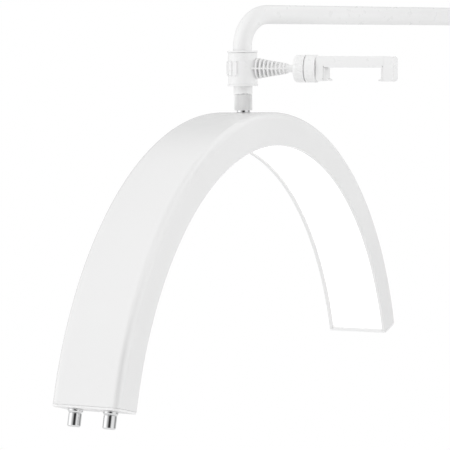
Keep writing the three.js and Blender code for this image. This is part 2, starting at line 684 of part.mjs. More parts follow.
function addClip() {
  const low = CLIP_BOTTOM - HOLDER_HEIGHT;
  const top = CLIP_TOP - HOLDER_HEIGHT;
  const flange = 2.3;
  const bore = TUBE_RADIUS + 2.1;
  piece(clip, 'clip_sleeve', WHITE_PLASTIC,
    pipe(SLEEVE_RADIUS, bore, low + flange + 0.5, top - flange - 0.5, 28));
  const [edge, rim] = [SLEEVE_RADIUS + 0.3, SLEEVE_RADIUS + 0.8];
  const ring = (z0, z1) => turned(
    [[bore, z0], [edge, z0], [rim, z0 + 0.5], [rim, z1 - 0.5], [edge, z1], [bore, z1]],
    28, true,
  );
  piece(clip, 'clip_top_ring', WHITE_PLASTIC, ring(top - flange, top));
  piece(clip, 'clip_bottom_ring', WHITE_PLASTIC, ring(low, low + flange));
  piece(clip, 'clip_liner', GREY_RUBBER, pipe(bore - GAP, TUBE_RADIUS + GAP, low + 1, top - 1));

  // Ridged thumb grip on the sleeve's far side, with pill-shaped ridges.
  const ridges = 4;
  const pitch = degrees(22);
  const centre = degrees(143.5) - HOLDER_YAW;
  const inner = SLEEVE_RADIUS + GAP;
  const [valley, crest] = [inner + 0.8, inner + 2.1];
  const halfHeight = 9.6;
  const outline = [];
  const half = (ridges * pitch) / 2;
  for (let i = 0; i <= 8; i++) {
    const a = centre + half - (2 * half * i) / 8;
    outline.push(new THREE.Vector2(inner * Math.cos(a), inner * Math.sin(a)));
  }
  for (let i = 0; i < ridges; i++) {
    const start = centre - half + i * pitch;
    for (const [share, r] of [[0.06, valley], [0.24, crest], [0.66, crest], [0.88, valley]]) {
      const a = start + share * pitch;
      outline.push(new THREE.Vector2(r * Math.cos(a), r * Math.sin(a)));
    }
  }
  piece(clip, 'clip_grip', WHITE_PLASTIC, slab(new THREE.Shape(outline), -halfHeight, halfHeight));
}

// A tapering core with ring fins, four lengthwise ribs, a plain tip and the ball.
function addClipArm() {
  const finStart = 17.4;
  const finThick = 2.2;
  const finEnd = finStart + (FIN_COUNT - 1) * FIN_PITCH + finThick;
  const [finFirst, finLast] = [12, 6.2];
  const ribHalf = 0.9;
  const finRadius = (s) => THREE.MathUtils.mapLinear(s, finStart, finEnd, finFirst, finLast);
  const coreRadius = (s) => THREE.MathUtils.mapLinear(s, finStart, finEnd, 7.2, 4.6);
  const tipRadius = 4.4;
  const profile = [[0, 12], [coreRadius(12), 12]];
  for (let i = 0; i < FIN_COUNT; i++) {
    const s = finStart + i * FIN_PITCH;
    profile.push([coreRadius(s), s]);
    profile.push([finRadius(s), s]);
    profile.push([finRadius(s + finThick), s + finThick]);
    profile.push([coreRadius(s + finThick), s + finThick]);
  }
  profile.push([tipRadius, finEnd + 8]);
  const ballSteps = 7;
  const from = Math.PI - Math.asin(tipRadius / BALL_RADIUS);
  for (let i = 0; i <= ballSteps; i++) {
    const a = from * (1 - i / ballSteps);
    profile.push([BALL_RADIUS * Math.sin(a), BALL_CENTRE + BALL_RADIUS * Math.cos(a)]);
  }
  profile[profile.length - 1][0] = 0;
  const core = alongX(turned(profile, 12));
  const rib = new THREE.Shape([
    new THREE.Vector2(14, -finFirst), new THREE.Vector2(finStart, -finFirst),
    new THREE.Vector2(finEnd, -finLast), new THREE.Vector2(finEnd + 6, -3.5),
    new THREE.Vector2(finEnd + 6, 3.5), new THREE.Vector2(finEnd, finLast),
    new THREE.Vector2(finStart, finFirst), new THREE.Vector2(14, finFirst),
  ]);
  const level = slab(rib, -ribHalf, ribHalf);
  const upright = slab(rib, -ribHalf, ribHalf).rotateX(Math.PI / 2);
  const sleeve = rod(SLEEVE_RADIUS + GAP + 0.1, -30, 30, 0, 28).rotateY(-HOLDER_DROOP);
  piece(holder, 'clip_arm', WHITE_PLASTIC, cut(join(core, level, upright), sleeve));
}

function addBallClamp() {
  const seatInner = BALL_RADIUS + 0.35;
  const seatOuter = BALL_RADIUS + 2.4;
  const [rear, front] = [degrees(122), degrees(52)];
  const arc = (radius, a0, a1, steps) =>
    Array.from({ length: steps + 1 }, (_, i) => {
      const a = a0 + ((a1 - a0) * i) / steps;
      return [radius * Math.sin(a), BALL_CENTRE + radius * Math.cos(a)];
    });
  piece(holder, 'ball_seat', BLACK_PLASTIC,
    alongX(turned([...arc(seatOuter, rear, front, 4), ...arc(seatInner, front, rear, 4)], 20, true)));

  const nutBore = 13.8;
  const throat = 8;
  const nut = turned(
    [[throat, NUT_REAR], [12.6, NUT_REAR], [14.8, NUT_REAR + 0.9], [HOLDER_NUT_RADIUS, NUT_REAR + 3],
     [HOLDER_NUT_RADIUS, NUT_FRONT], [nutBore, NUT_FRONT], [nutBore, NUT_REAR + 2.4],
     [throat, NUT_REAR + 2.4]],
    24, true,
  );
  piece(holder, 'holder_nut', WHITE_PLASTIC, alongX(nut));

  const spigot = 13.4;
  const cavity = 12.1;
  const cupRadius = HOLDER_NUT_RADIUS;
  const cup = turned(
    [[0, 87], [8, 87], [cavity, 82], [cavity, NUT_REAR + 3.4], [spigot, NUT_REAR + 3.4],
     [spigot, NUT_FRONT + 0.8], [cupRadius - 0.5, NUT_FRONT + 0.8], [cupRadius, NUT_FRONT + 1.3],
     [cupRadius, CUP_FRONT - 0.6], [cupRadius - 0.6, CUP_FRONT], [0, CUP_FRONT]],
    24,
  );
  piece(holder, 'socket_cup', WHITE_PLASTIC, alongX(cup));
}

function addCradle() {
  const half = CRADLE_DEPTH / 2;
  const moving = JAW_INNER + JAW_GAP;
  const sleeveEnd = moving - GAP;
  const upright = (shape, low, high) => slab(shape, low, high).rotateX(Math.PI / 2);
  // The fixed jaw and its hollow bar are one moulding.
  const wall = 2;
  const blockShape = roundedRectangle(CRADLE_START, JAW_INNER, JAW_LOW, BAR_HIGH, CRADLE_CORNER, 0.6);
  const block = upright(blockShape, -half, half);
  const barStart = CRADLE_START + CRADLE_CORNER;
  const bar = upright(roundedRectangle(barStart - 1, sleeveEnd, BAR_LOW, BAR_HIGH, 0.6), -half, half);
  const hollow = box(barStart, sleeveEnd + 2, -half + wall, half - wall, BAR_LOW + wall, BAR_HIGH - wall);
  piece(holder, 'cradle_body', WHITE_PLASTIC, cut(join(block, bar), hollow));

  const padHalf = half - GAP;
  const padTop = BAR_LOW - 0.5;
  const padLow = JAW_LOW + 0.3;
  const pad = (inner, direction) => {
    const [back, face] = [inner + direction * GAP, inner + direction * PAD_SHEET];
    const lip = face + direction * PAD_LIP;
    const shape = new THREE.Shape([
      new THREE.Vector2(back, padTop), new THREE.Vector2(face, padTop),
      new THREE.Vector2(face, padLow + 3.3), new THREE.Vector2(lip, padLow + 1.3),
      new THREE.Vector2(lip, padLow), new THREE.Vector2(back, padLow),
    ]);
    return upright(shape, -padHalf, padHalf);
  };
  piece(holder, 'fixed_jaw_pad', GREY_RUBBER, pad(JAW_INNER, 1));
  piece(holder, 'moving_jaw_pad', GREY_RUBBER, pad(moving, -1));

  const jawShape = roundedRectangle(moving, JAW_END, JAW_LOW, BAR_HIGH, 0.6, JAW_CORNER);
  const jaw = upright(jawShape, -half, half);
  const slack = wall + 0.4;
  const slideStart = 122;
  const slideBar = box(
    slideStart, moving + 3, -half + slack, half - slack, BAR_LOW + slack, BAR_HIGH - slack,
  );
  piece(holder, 'moving_jaw', WHITE_PLASTIC, join(jaw, slideBar));
  const spring = pipe(3.6, 2.2, barStart + 0.4, slideStart - 0.4, 16);
  piece(holder, 'jaw_spring', STEEL, alongX(spring).translate(0, 0, (BAR_LOW + BAR_HIGH) / 2));
}

// ---------------------------------------------------------------- the whole lamp

addStand();
addMast();
addBoomClamp();
addArm();
addHeadShell();
addHeadMounting();
addLegEnds();
addNeck();
addClip();
addClipArm();
addBallClamp();
addCradle();

export default lamp;
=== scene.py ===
"""Half-moon LED floor lamp with a phone holder: the fine surfaces and materials around the CAD frame.

Lengths are in millimetres inside each piece's own frame. The frame's matrix carries them to metres in the
row frame.
"""

import json
import math

import bmesh
import bpy
from mathutils import Matrix, Vector


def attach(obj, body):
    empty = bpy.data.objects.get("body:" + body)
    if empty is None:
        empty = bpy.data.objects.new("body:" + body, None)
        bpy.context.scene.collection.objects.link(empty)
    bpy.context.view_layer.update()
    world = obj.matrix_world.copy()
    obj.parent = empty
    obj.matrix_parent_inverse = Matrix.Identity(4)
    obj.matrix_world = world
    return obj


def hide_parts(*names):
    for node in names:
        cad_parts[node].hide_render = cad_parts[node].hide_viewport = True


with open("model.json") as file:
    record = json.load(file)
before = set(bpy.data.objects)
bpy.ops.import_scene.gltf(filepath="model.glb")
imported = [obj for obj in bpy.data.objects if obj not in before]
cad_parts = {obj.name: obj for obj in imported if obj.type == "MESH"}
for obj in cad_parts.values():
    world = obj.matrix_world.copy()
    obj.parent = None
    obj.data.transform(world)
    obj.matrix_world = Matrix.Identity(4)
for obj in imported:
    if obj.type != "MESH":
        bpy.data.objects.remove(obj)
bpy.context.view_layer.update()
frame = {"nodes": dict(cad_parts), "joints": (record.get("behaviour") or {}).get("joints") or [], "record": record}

# ---------------------------------------------------------------- driving sizes, in mm

HEAD_RADIUS = 390.0
HEAD_WIDTH = 80.0
HEAD_DEPTH = 39.0
HEAD_HALF_ANGLE = math.radians(74.85)
CAP_THICK = 2.4
CAP_INSET = 0.25
LIP_WIDTH = 5.0
LIP_THICK = 2.5
WALL = 2.0
DIFFUSER_THICK = 1.8
KNOB_SPACING = 41.0
TUBE_RADIUS = 11.0
TUBE_WALL = 1.5
BEND_RADIUS = 38.0
ARM_REACH = 600.0
ARM_TAIL = 170.0
ARM_ABOVE_APEX = 113.5
TUBE_BOTTOM = 21.6
CLIP_LOW = -20.5
CLIP_TOP = 20.4
BASE_THICK = 8.0
POLE_WALL = 1.5
FIT = 0.15  # clearance between pieces that seat on each other
INSIDE_CAD = 0.01  # keeps the rounded skin inside the CAD's own box

# ---------------------------------------------------------------- places, from the frame

MM = 0.001
JOINTS = {joint["name"]: joint for joint in frame["joints"]}
UP = Vector((0, 0, 1))


def place(origin, x_axis, z_axis):
    """A frame in mm at origin (metres) with the given X and Z axes."""
    z = Vector(z_axis).normalized()
    y = z.cross(Vector(x_axis)).normalized()
    x = y.cross(z)
    turn = Matrix((x, y, z)).transposed().to_4x4()
    return Matrix.Translation(Vector(origin)) @ turn @ Matrix.Scale(MM, 4)


APEX = Vector(JOINTS["head_swivel"]["pos_m"])
ARC_CENTRE = APEX - UP * HEAD_RADIUS * MM
ARM_AXIS = Vector(JOINTS["reach_slide"]["axis"])
HOLDER_DIRECTION = Vector(JOINTS["cradle_roll"]["axis"])
HOLDER_UP = Vector(JOINTS["holder_swing"]["axis"])
HOLDER_CENTRE = Vector(JOINTS["clip_swivel"]["pos_m"])

HEAD = place(ARC_CENTRE, (1, 0, 0), UP)
NECK = place(APEX, (1, 0, 0), UP)
STAND = place((0, 0, 0), ARM_AXIS, UP)
BOOM = place(JOINTS["boom_swivel"]["pos_m"], ARM_AXIS, UP)
CLIP = place(HOLDER_CENTRE, HOLDER_DIRECTION, UP)
HOLDER = place(HOLDER_CENTRE, HOLDER_DIRECTION, HOLDER_UP)
HOLDER_AXIS = place(HOLDER_CENTRE, HOLDER_UP, HOLDER_DIRECTION)


def leg_end(side):
    """Frame at a leg's end: Z along the arc out of the leg, X to the arc's outside."""
    angle = side * HEAD_HALF_ANGLE
    radial = Vector((math.sin(angle), 0, math.cos(angle)))
    out = Vector((math.cos(angle), 0, -math.sin(angle))) * side
    return place(ARC_CENTRE + radial * (HEAD_RADIUS - HEAD_DEPTH / 2) * MM, radial, out)


KNOB_END = leg_end(-1)
INLET_END = leg_end(1)

# ---------------------------------------------------------------- outline helpers


def filleted(corners, steps=4, closed=True):
    """Turns (x, y, radius) corners into points, with a round fillet at each corner that has a radius."""
    points = []
    count = len(corners)
    for i, (x, y, radius) in enumerate(corners):
        corner = Vector((x, y))
        at_end = not closed and i in (0, count - 1)
        if radius <= 0 or at_end:
            points.append((x, y))
            continue
        back = Vector(corners[i - 1][:2]) - corner
        ahead = Vector(corners[(i + 1) % count][:2]) - corner
        half = back.angle(ahead) / 2
        reach = min(radius / math.tan(half), back.length * 0.5, ahead.length * 0.5)
        r = reach * math.tan(half)
        centre = corner + (back.normalized() + ahead.normalized()).normalized() * (r / math.sin(half))
        first = corner + back.normalized() * reach - centre
        last = corner + ahead.normalized() * reach - centre
        turn = math.atan2(first.x * last.y - first.y * last.x, first.dot(last))
        for k in range(steps + 1):
            a = turn * k / steps
            c, s = math.cos(a), math.sin(a)
            points.append((centre.x + first.x * c - first.y * s, centre.y + first.x * s + first.y * c))
    return points


def circle(radius, steps=48, x=0.0, y=0.0):
    return [(x + radius * math.cos(2 * math.pi * i / steps), y + radius * math.sin(2 * math.pi * i / steps))
            for i in range(steps)]


def rectangle(x0, x1, y0, y1, radius, steps=5):
    return filleted([(x0, y0, radius), (x1, y0, radius), (x1, y1, radius), (x0, y1, radius)], steps)


# ---------------------------------------------------------------- mesh helpers


def new_object(name, data):
    obj = bpy.data.objects.new(name, data)
    bpy.context.scene.collection.objects.link(obj)
    return obj


def build(name, verts, faces, matrix, smooth_below=32):
    """A mesh object from points in a piece's own frame, with its faces turned outward."""
    mesh = bpy.data.meshes.new(name)
    mesh.from_pydata([matrix @ Vector(v) for v in verts], [], faces)
    bm = bmesh.new()
    bm.from_mesh(mesh)
    bmesh.ops.remove_doubles(bm, verts=bm.verts, dist=1e-7)
    bmesh.ops.recalc_face_normals(bm, faces=bm.faces)
    bm.to_mesh(mesh)
    bm.free()
    obj = new_object(name, mesh)
    shade(obj, smooth_below)
    return obj


def shade(obj, smooth_below=32):
    mesh = obj.data
    mesh.polygons.foreach_set("use_smooth", [True] * len(mesh.polygons))
    mesh.set_sharp_from_angle(angle=math.radians(smooth_below))


def lathe(name, profile, matrix, segments=64, closed=False, relief=None):
    """Turns a profile of (radius, z) points about Z.

    relief(angle, radius, z) gives the radius at an angle.
    """
    verts, faces, rings = [], [], []
    for r, z in profile:
        if r < 1e-6:
            rings.append([len(verts)])
            verts.append((0, 0, z))
            continue
        ring = []
        for i in range(segments):
            a = 2 * math.pi * i / segments
            radius = relief(a, r, z) if relief else r
            ring.append(len(verts))
            verts.append((radius * math.cos(a), radius * math.sin(a), z))
        rings.append(ring)
    pairs = list(zip(rings, rings[1:] + (rings[:1] if closed else [])))
    if not closed:
        pairs = pairs[: len(rings) - 1]
    for low, high in pairs:
        for i in range(segments):
            j = (i + 1) % segments
            if len(low) == 1 and len(high) == 1:
                continue
            if len(low) == 1:
                faces.append((low[0], high[j], high[i]))
            elif len(high) == 1:
                faces.append((low[i], low[j], high[0]))
            else:
                faces.append((low[i], low[j], high[j], high[i]))
    return build(name, verts, faces, matrix)


def sweep(name, section, stations, matrix, inner=None):
    """Carries a closed section of (a, b) points along stations of (origin, a_axis, b_axis)."""
    loops = [section] + ([inner] if inner else [])
    size = len(section)
    verts, faces = [], []
    for origin, a_axis, b_axis in stations:
        for loop in loops:
            verts.extend(origin + a_axis * a + b_axis * b for a, b in loop)
    stride = size * len(loops)
    for k in range(len(stations) - 1):
        for layer in range(len(loops)):
            base = k * stride + layer * size
            for i in range(size):
                j = (i + 1) % size
                faces.append((base + i, base + j, base + stride + j, base + stride + i))
    for base in (0, (len(stations) - 1) * stride):
        if inner:
            for i in range(size):
                j = (i + 1) % size
                faces.append((base + i, base + j, base + size + j, base + size + i))
        else:
            faces.append(tuple(range(base, base + size)))
    return build(name, verts, faces, matrix)


def prism(name, outline, low, high, matrix):
    """Extrudes an outline of (x, y) points from low to high along Z."""
    stations = [(Vector((0, 0, z)), Vector((1, 0, 0)), Vector((0, 1, 0))) for z in (low, high)]
    return sweep(name, outline, stations, matrix)


def arc_stations(start, end, steps):
    """Stations on the head's outer arc: the section's first axis is +Y and its second points inward."""
    out = []
    for i in range(steps + 1):
        a = start + (end - start) * i / steps
        radial = Vector((math.sin(a), 0, math.cos(a)))
        out.append((radial * HEAD_RADIUS, Vector((0, 1, 0)), -radial))
    return out


def apply_modifiers(obj):
    """Puts the result of an object's modifiers into its mesh."""
    bpy.context.view_layer.update()
    graph = bpy.context.evaluated_depsgraph_get()
    mesh = bpy.data.meshes.new_from_object(obj.evaluated_get(graph))
    old = obj.data
    obj.modifiers.clear()
    obj.data = mesh
    mesh.name = obj.name
    bpy.data.meshes.remove(old)


def even_shading(obj):
    """Lets large flat faces keep their own direction beside narrow rounded edges."""
    modifier = obj.modifiers.new("normals", "WEIGHTED_NORMAL")
    modifier.keep_sharp = True
    apply_modifiers(obj)


def boolean(obj, operation, others):
    for other in others:
        modifier = obj.modifiers.new(operation.lower(), "BOOLEAN")
        modifier.operation = operation
        modifier.object = other
        modifier.solver = "EXACT"
    apply_modifiers(obj)
    shade(obj)
    for other in others:
        mesh = other.data
        bpy.data.objects.remove(other)
        bpy.data.meshes.remove(mesh)


def drilled(obj, *cutters):
    boolean(obj, "DIFFERENCE", cutters)


def joined(obj, *others):
    boolean(obj, "UNION", others)


def copy_of(obj, name):
    return new_object(name, obj.data.copy())


def rounded(obj, width, segments=3, angle=38):
    """Rounds the sharp edges of a piece by a width in mm."""
    modifier = obj.modifiers.new("round", "BEVEL")
    modifier.width = width * MM
    modifier.segments = segments
    modifier.limit_method = "ANGLE"
    modifier.angle_limit = math.radians(angle)
    modifier.harden_normals = False
    apply_modifiers(obj)
    shade(obj)
    return obj


# ---------------------------------------------------------------- materials


def principled(name, colour, roughness, **inputs):
    material = bpy.data.materials.new(name)
    material.use_nodes = True
    tree = material.node_tree
    shader = tree.nodes["Principled BSDF"]
    shader.inputs["Base Color"].default_value = (*colour, 1)
    shader.inputs["Roughness"].default_value = roughness
    for key, value in inputs.items():
        shader.inputs[key.replace("_", " ")].default_value = value
    return material, tree, shader


def node(tree, kind, **settings):
    made = tree.nodes.new(kind)
    for key, value in settings.items():
        if key in made.inputs:
            made.inputs[key].default_value = value
        else:
            setattr(made, key, value)
    return made


def position(tree):
    """Coordinates in metres, fixed to the piece."""
    return node(tree, "ShaderNodeTexCoord").outputs["Object"]


def noise(tree, scale, detail=3.0, stretch=None):
    texture = node(tree, "ShaderNodeTexNoise", Scale=scale, Detail=detail)
    source = position(tree)
    if stretch:
        mapping = node(tree, "ShaderNodeMapping")
        mapping.inputs["Scale"].default_value = stretch
        tree.links.new(source, mapping.inputs["Vector"])
        source = mapping.outputs["Vector"]
    tree.links.new(source, texture.inputs["Vector"])
    return texture.outputs["Fac"]


def map_range(tree, source, from_min, from_max, to_min=0.0, to_max=1.0, **settings):
    made = node(tree, "ShaderNodeMapRange", **settings)
    limits = {"From Min": from_min, "From Max": from_max, "To Min": to_min, "To Max": to_max}
    for key, value in limits.items():
        made.inputs[key].default_value = value
    tree.links.new(source, made.inputs["Value"])
    return made.outputs["Result"]


def spread(tree, source, low, high):
    """Maps the middle of a noise value's range to a range."""
    return map_range(tree, source, 0.3, 0.7, low, high)


def blend_colours(tree, source, first, second):
    mix = node(tree, "ShaderNodeMix", data_type="RGBA")
    mix.inputs[6].default_value = (*first, 1)
    mix.inputs[7].default_value = (*second, 1)
    tree.links.new(source, mix.inputs[0])
    return mix.outputs[2]


def tint(tree, shader, source, first, second):
    """Lets the base colour drift between two colours by a noise value."""
    blended = blend_colours(tree, spread(tree, source, 0.0, 1.0), first, second)
    tree.links.new(blended, shader.inputs["Base Color"])


def vary_gloss(tree, shader, source, low, high):
    tree.links.new(spread(tree, source, low, high), shader.inputs["Roughness"])


def bump(tree, shader, height, strength, distance):
    made = node(tree, "ShaderNodeBump", Strength=strength, Distance=distance)
    tree.links.new(height, made.inputs["Height"])
    tree.links.new(made.outputs["Normal"], shader.inputs["Normal"])


def moulded(name, colour, shadow, roughness, grain=2600.0, strength=0.12, **inputs):
    """Moulded plastic: faint cloudy tone, uneven gloss and a fine spark-eroded grain."""
    material, tree, shader = principled(name, colour, roughness, **inputs)
    tint(tree, shader, noise(tree, 9.0, 4.0), colour, shadow)
    vary_gloss(tree, shader, noise(tree, 70.0, 5.0), roughness - 0.05, roughness + 0.06)
    bump(tree, shader, noise(tree, grain, 2.0), strength, 0.00004)
    return material


def painted(name, colour, shadow, roughness):
    """Powder coat: gentle orange peel under a clear gloss."""
    material, tree, shader = principled(name, colour, roughness, Coat_Weight=0.35, Coat_Roughness=0.12)
    tint(tree, shader, noise(tree, 12.0, 3.0), colour, shadow)
    vary_gloss(tree, shader, noise(tree, 140.0, 3.0), roughness - 0.04, roughness + 0.05)
    bump(tree, shader, noise(tree, 620.0, 2.0), 0.18, 0.00006)
    return material


def metal(name, colour, roughness, stretch=None, scale=900.0, strength=0.05, metallic=1.0):
    """Bare or plated metal with faint polishing lines and fingerprints."""
    material, tree, shader = principled(name, colour, roughness, Metallic=metallic)
    smudge = noise(tree, 60.0, 4.0)
    vary_gloss(tree, shader, smudge, roughness * 0.7, roughness * 1.6)
    tint(tree, shader, smudge, colour, tuple(c * 0.94 for c in colour))
    bump(tree, shader, noise(tree, scale, 2.0, stretch), strength, 0.00002)
    return material


def opal():
    """Opal acrylic strip with a low, even glow."""
    material, tree, shader = principled(
        "opal_acrylic", (0.97, 0.97, 0.965), 0.42, Emission_Strength=0.35, IOR=1.49)
    shader.inputs["Emission Color"].default_value = (1.0, 1.0, 0.99, 1)
    tint(tree, shader, noise(tree, 24.0, 3.0), (0.975, 0.975, 0.97), (0.95, 0.952, 0.95))
    bump(tree, shader, noise(tree, 3200.0, 2.0), 0.1, 0.00003)
    return material


def rubber(name, colour, shadow, roughness):
    material, tree, shader = principled(name, colour, roughness)
    tint(tree, shader, noise(tree, 420.0, 6.0), colour, shadow)
    bump(tree, shader, noise(tree, 1800.0, 3.0), 0.3, 0.00006)
    return material


LOOKS = {
    "housing_white": moulded("housing_white", (0.9, 0.9, 0.9), (0.89, 0.89, 0.89), 0.17,
                             strength=0.05, IOR=1.95),
    "white_plastic": moulded("white_plastic", (0.95, 0.95, 0.95), (0.94, 0.94, 0.94), 0.3,
                             strength=0.08, IOR=1.55),
    "white_paint": painted("white_paint", (0.94, 0.94, 0.94), (0.93, 0.93, 0.93), 0.3),
    "opal_acrylic": opal(),
    "chrome": metal("chrome", (0.86, 0.865, 0.87), 0.06),
    "black_rubber": rubber("black_rubber", (0.022, 0.022, 0.023), (0.045, 0.045, 0.045), 0.85),
    "black_plastic": moulded("black_plastic", (0.025, 0.025, 0.027), (0.035, 0.035, 0.036), 0.5,
                             1500.0, 0.3),
    "white_silicone": rubber("white_silicone", (0.89, 0.89, 0.89), (0.87, 0.87, 0.87), 0.6),
    "steel": metal("steel", (0.6, 0.6, 0.61), 0.3, scale=1500.0, strength=0.12),
    "aluminium": metal("aluminium", (0.78, 0.785, 0.79), 0.36, (1, 1, 12)),
    "led_board": moulded("led_board", (0.88, 0.88, 0.83), (0.84, 0.84, 0.79), 0.45, 900.0, 0.1),
    "driver_board": moulded("driver_board", (0.05, 0.22, 0.1), (0.03, 0.15, 0.07), 0.4, 700.0, 0.2),
}


def finished(obj, body, look, *nodes, material=None):
    """Gives a piece its material, its body and the CAD nodes that it stands for."""
    obj.data.materials.clear()
    obj.data.materials.append(material or LOOKS[look])
    even_shading(obj)
    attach(obj, body)
    if nodes:
        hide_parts(*nodes)


def carry_over():
    """Every CAD node gets its slot's procedural material; those that are replaced are hidden already."""
    slots = {entry["node"]: entry["material_slot"] for entry in frame["record"]["subparts"]}
    for name, obj in frame["nodes"].items():
        look = LOOKS[slots[name]]
        if not obj.material_slots:
            obj.data.materials.append(look)
        for entry in obj.material_slots:
            entry.link = "OBJECT"
            entry.material = look


# ---------------------------------------------------------------- lamp head

SHELL_HALF_ANGLE = HEAD_HALF_ANGLE - CAP_THICK / (HEAD_RADIUS - HEAD_DEPTH / 2)
HALF_WIDTH = HEAD_WIDTH / 2 - INSIDE_CAD
CORNER = 8.0
ARC_STEPS = 180


def make_shell():
    inner = HALF_WIDTH - WALL
    lip = HALF_WIDTH - LIP_WIDTH
    back = HEAD_DEPTH - LIP_THICK
    half = [(HALF_WIDTH, 0, CORNER), (HALF_WIDTH, HEAD_DEPTH, 1.6), (lip, HEAD_DEPTH, 0.8),
            (lip, back, 0.3), (inner, back, 0.3), (inner, WALL, CORNER - WALL)]
    mirrored = [(-y, d, r) for y, d, r in reversed(half)]
    section = filleted(half + mirrored, 6)
    stations = arc_stations(-HEAD_HALF_ANGLE, HEAD_HALF_ANGLE, ARC_STEPS)
    shell = sweep("housing_skin", section, stations, HEAD)
    cutters = [prism("stud_hole", circle(5.6, 32), HEAD_RADIUS - 12, HEAD_RADIUS + 6, HEAD)]
    cut_at = -CAP_THICK + 0.05
    for end in (KNOB_END, INLET_END):
        cutters.append(prism("end_cut", rectangle(-60, 60, -80, 80, 1), cut_at, 60, end))
    drilled(shell, *cutters)
    finished(shell, "head", "housing_white", "housing_shell")


def make_diffuser():
    gap, end_gap = 0.3, 0.004  # mm beside the strip, and radians at its ends
    far = HEAD_DEPTH - LIP_THICK - gap
    half = HALF_WIDTH - WALL - gap
    section = rectangle(-half, half, far - DIFFUSER_THICK, far, 0.3, 2)
    reach = SHELL_HALF_ANGLE - end_gap
    strip = sweep("diffuser_strip", section, arc_stations(-reach, reach, ARC_STEPS), HEAD)
    finished(strip, "head", "opal_acrylic", "diffuser")


def cap_outline(inset=0.0):
    outer = HEAD_DEPTH / 2 - inset
    half = HALF_WIDTH - inset
    r = CORNER - inset
    return filleted([(-outer, -half, 1.0), (outer, -half, r), (outer, half, r), (-outer, half, 1.0)], 6)


def make_end_cap(name, matrix, holes, node_name):
    """A plate over a leg's end, with a cross bar that closes the housing's mouth behind it."""
    bar_thick, bar_depth, bar_root = 1.8, 2.6, 1.2
    cap = prism(name, cap_outline(CAP_INSET), -CAP_THICK + FIT, 0, matrix)
    cutters = [prism(f"{name}_hole", circle(r, 40, x, y), -CAP_THICK - 4, 4, matrix)
               for x, y, r in holes]
    rounded(cap, 0.3, 2, 60)
    mouth = -HEAD_DEPTH / 2 + CAP_INSET + 0.05
    half = HALF_WIDTH - LIP_WIDTH - 0.1
    section = rectangle(mouth, mouth + bar_thick, -half, half, 0.3, 2)
    joined(cap, prism(f"{name}_bar", section, -CAP_THICK - bar_depth, -bar_root, matrix))
    drilled(cap, *cutters)
    finished(cap, "head", "white_plastic", node_name)


def make_knob(name, y):
    at = KNOB_END @ Matrix.Translation((0, y, 0))
    hole, neck, foot, front = 4.5, 3.3, 7.8, 3.8
    bezel = filleted([(hole, FIT, 0), (foot, FIT, 0.1), (foot, 2.2, 0.3), (6.8, front, 0.3),
                      (neck, front, 0.2), (neck, 1.8, 0), (hole, 1.8, 0)], 4)
    finished(lathe(f"{name}_bezel_ring", bezel, at, 72, True), "head", "chrome", f"{name}_bezel")
    bore, socket_end, low, radius, dish = 3.15, 13.4, 4.1, 6.8, 17.2
    cap = filleted([(0, socket_end, 0), (bore, socket_end, 0), (bore, low, 0.2), (6.4, low, 0.2),
                    (radius, 4.6, 0.2), (radius, 16.9, 0.9), (5.7, 18, 0.5), (1.2, 17.8, 0.3),
                    (0.7, dish, 0.3), (0, dish, 0)], 4, False)
    finished(lathe(f"{name}_knob_cap", cap, at, 72), name, "chrome", f"{name}_knob")


def make_inlet():
    """Makes the socket, and returns the hole that its cap needs."""
    x = HEAD_DEPTH / 2 - 8.6
    barrel, rim, bore, pin = 4.1, 5.8, 2.8, 0.9
    back, front, floor = -14, 1.6, -9
    profile = filleted([(0, back, 0), (barrel, back, 0.3), (barrel, FIT, 0), (rim, FIT, 0.2),
                        (rim, 1.3, 0.4), (5.2, front, 0.2), (bore, front, 0.4), (bore, floor, 0),
                        (pin, floor, 0), (pin, -0.6, 0.5), (0, -0.4, 0)], 4, False)
    inlet = lathe("dc_socket", profile, INLET_END @ Matrix.Translation((x, 0, 0)), 48)
    finished(inlet, "head", "black_plastic", "dc_inlet")
    return (x, 0, 4.6)


# ---------------------------------------------------------------- neck and arm


def make_neck():
    nut_low, nut_top, nut_radius = 2.4, 21.2, 10.5
    bore, edge, edge_height = 6.3, 9.9, 0.7
    knurls, knurl_depth = 40, 0.5

    def knurl(angle, radius, z):
        if radius < nut_radius - 0.05:
            return radius
        return radius - knurl_depth * (0.5 - 0.5 * math.cos(knurls * angle)) ** 1.6

    nut = filleted([(bore, nut_low + 2, 0), (8.05, nut_low + 2, 0), (8.05, nut_low, 0.2),
                    (edge, nut_low, 0.3), (nut_radius, nut_low + edge_height, 0),
                    (nut_radius, nut_top - edge_height, 0), (edge, nut_top, 0.3), (bore, nut_top, 0.2)], 3)
    made = lathe("neck_nut_knurled", nut, NECK, knurls * 8, True, knurl)
    satin = metal("satin_chrome", (0.95, 0.95, 0.95), 0.4, metallic=0.5)
    finished(made, "neck_nut", "chrome", "knurled_nut", material=satin)
    tail, collar, shank = 5, 7.75, 6
    stud = filleted([(0, -13.1, 0), (tail, -13.1, 0.4), (tail, FIT, 0), (collar, FIT, 0.3),
                     (collar, 4, 0.4), (shank, 4, 0), (shank, 45, 0.6), (0, 46, 0)], 4, False)
    finished(lathe("neck_stud_turned", stud, NECK, 72), "head", "chrome", "neck_stud")


def facing_tail(matrix, x=0.0, z=0.0):
    """A frame moved by x and z, with its Z axis turned towards the arm's tail end."""
    return matrix @ Matrix.Translation((x, 0, z)) @ Matrix.Rotation(-math.pi / 2, 4, "Y")


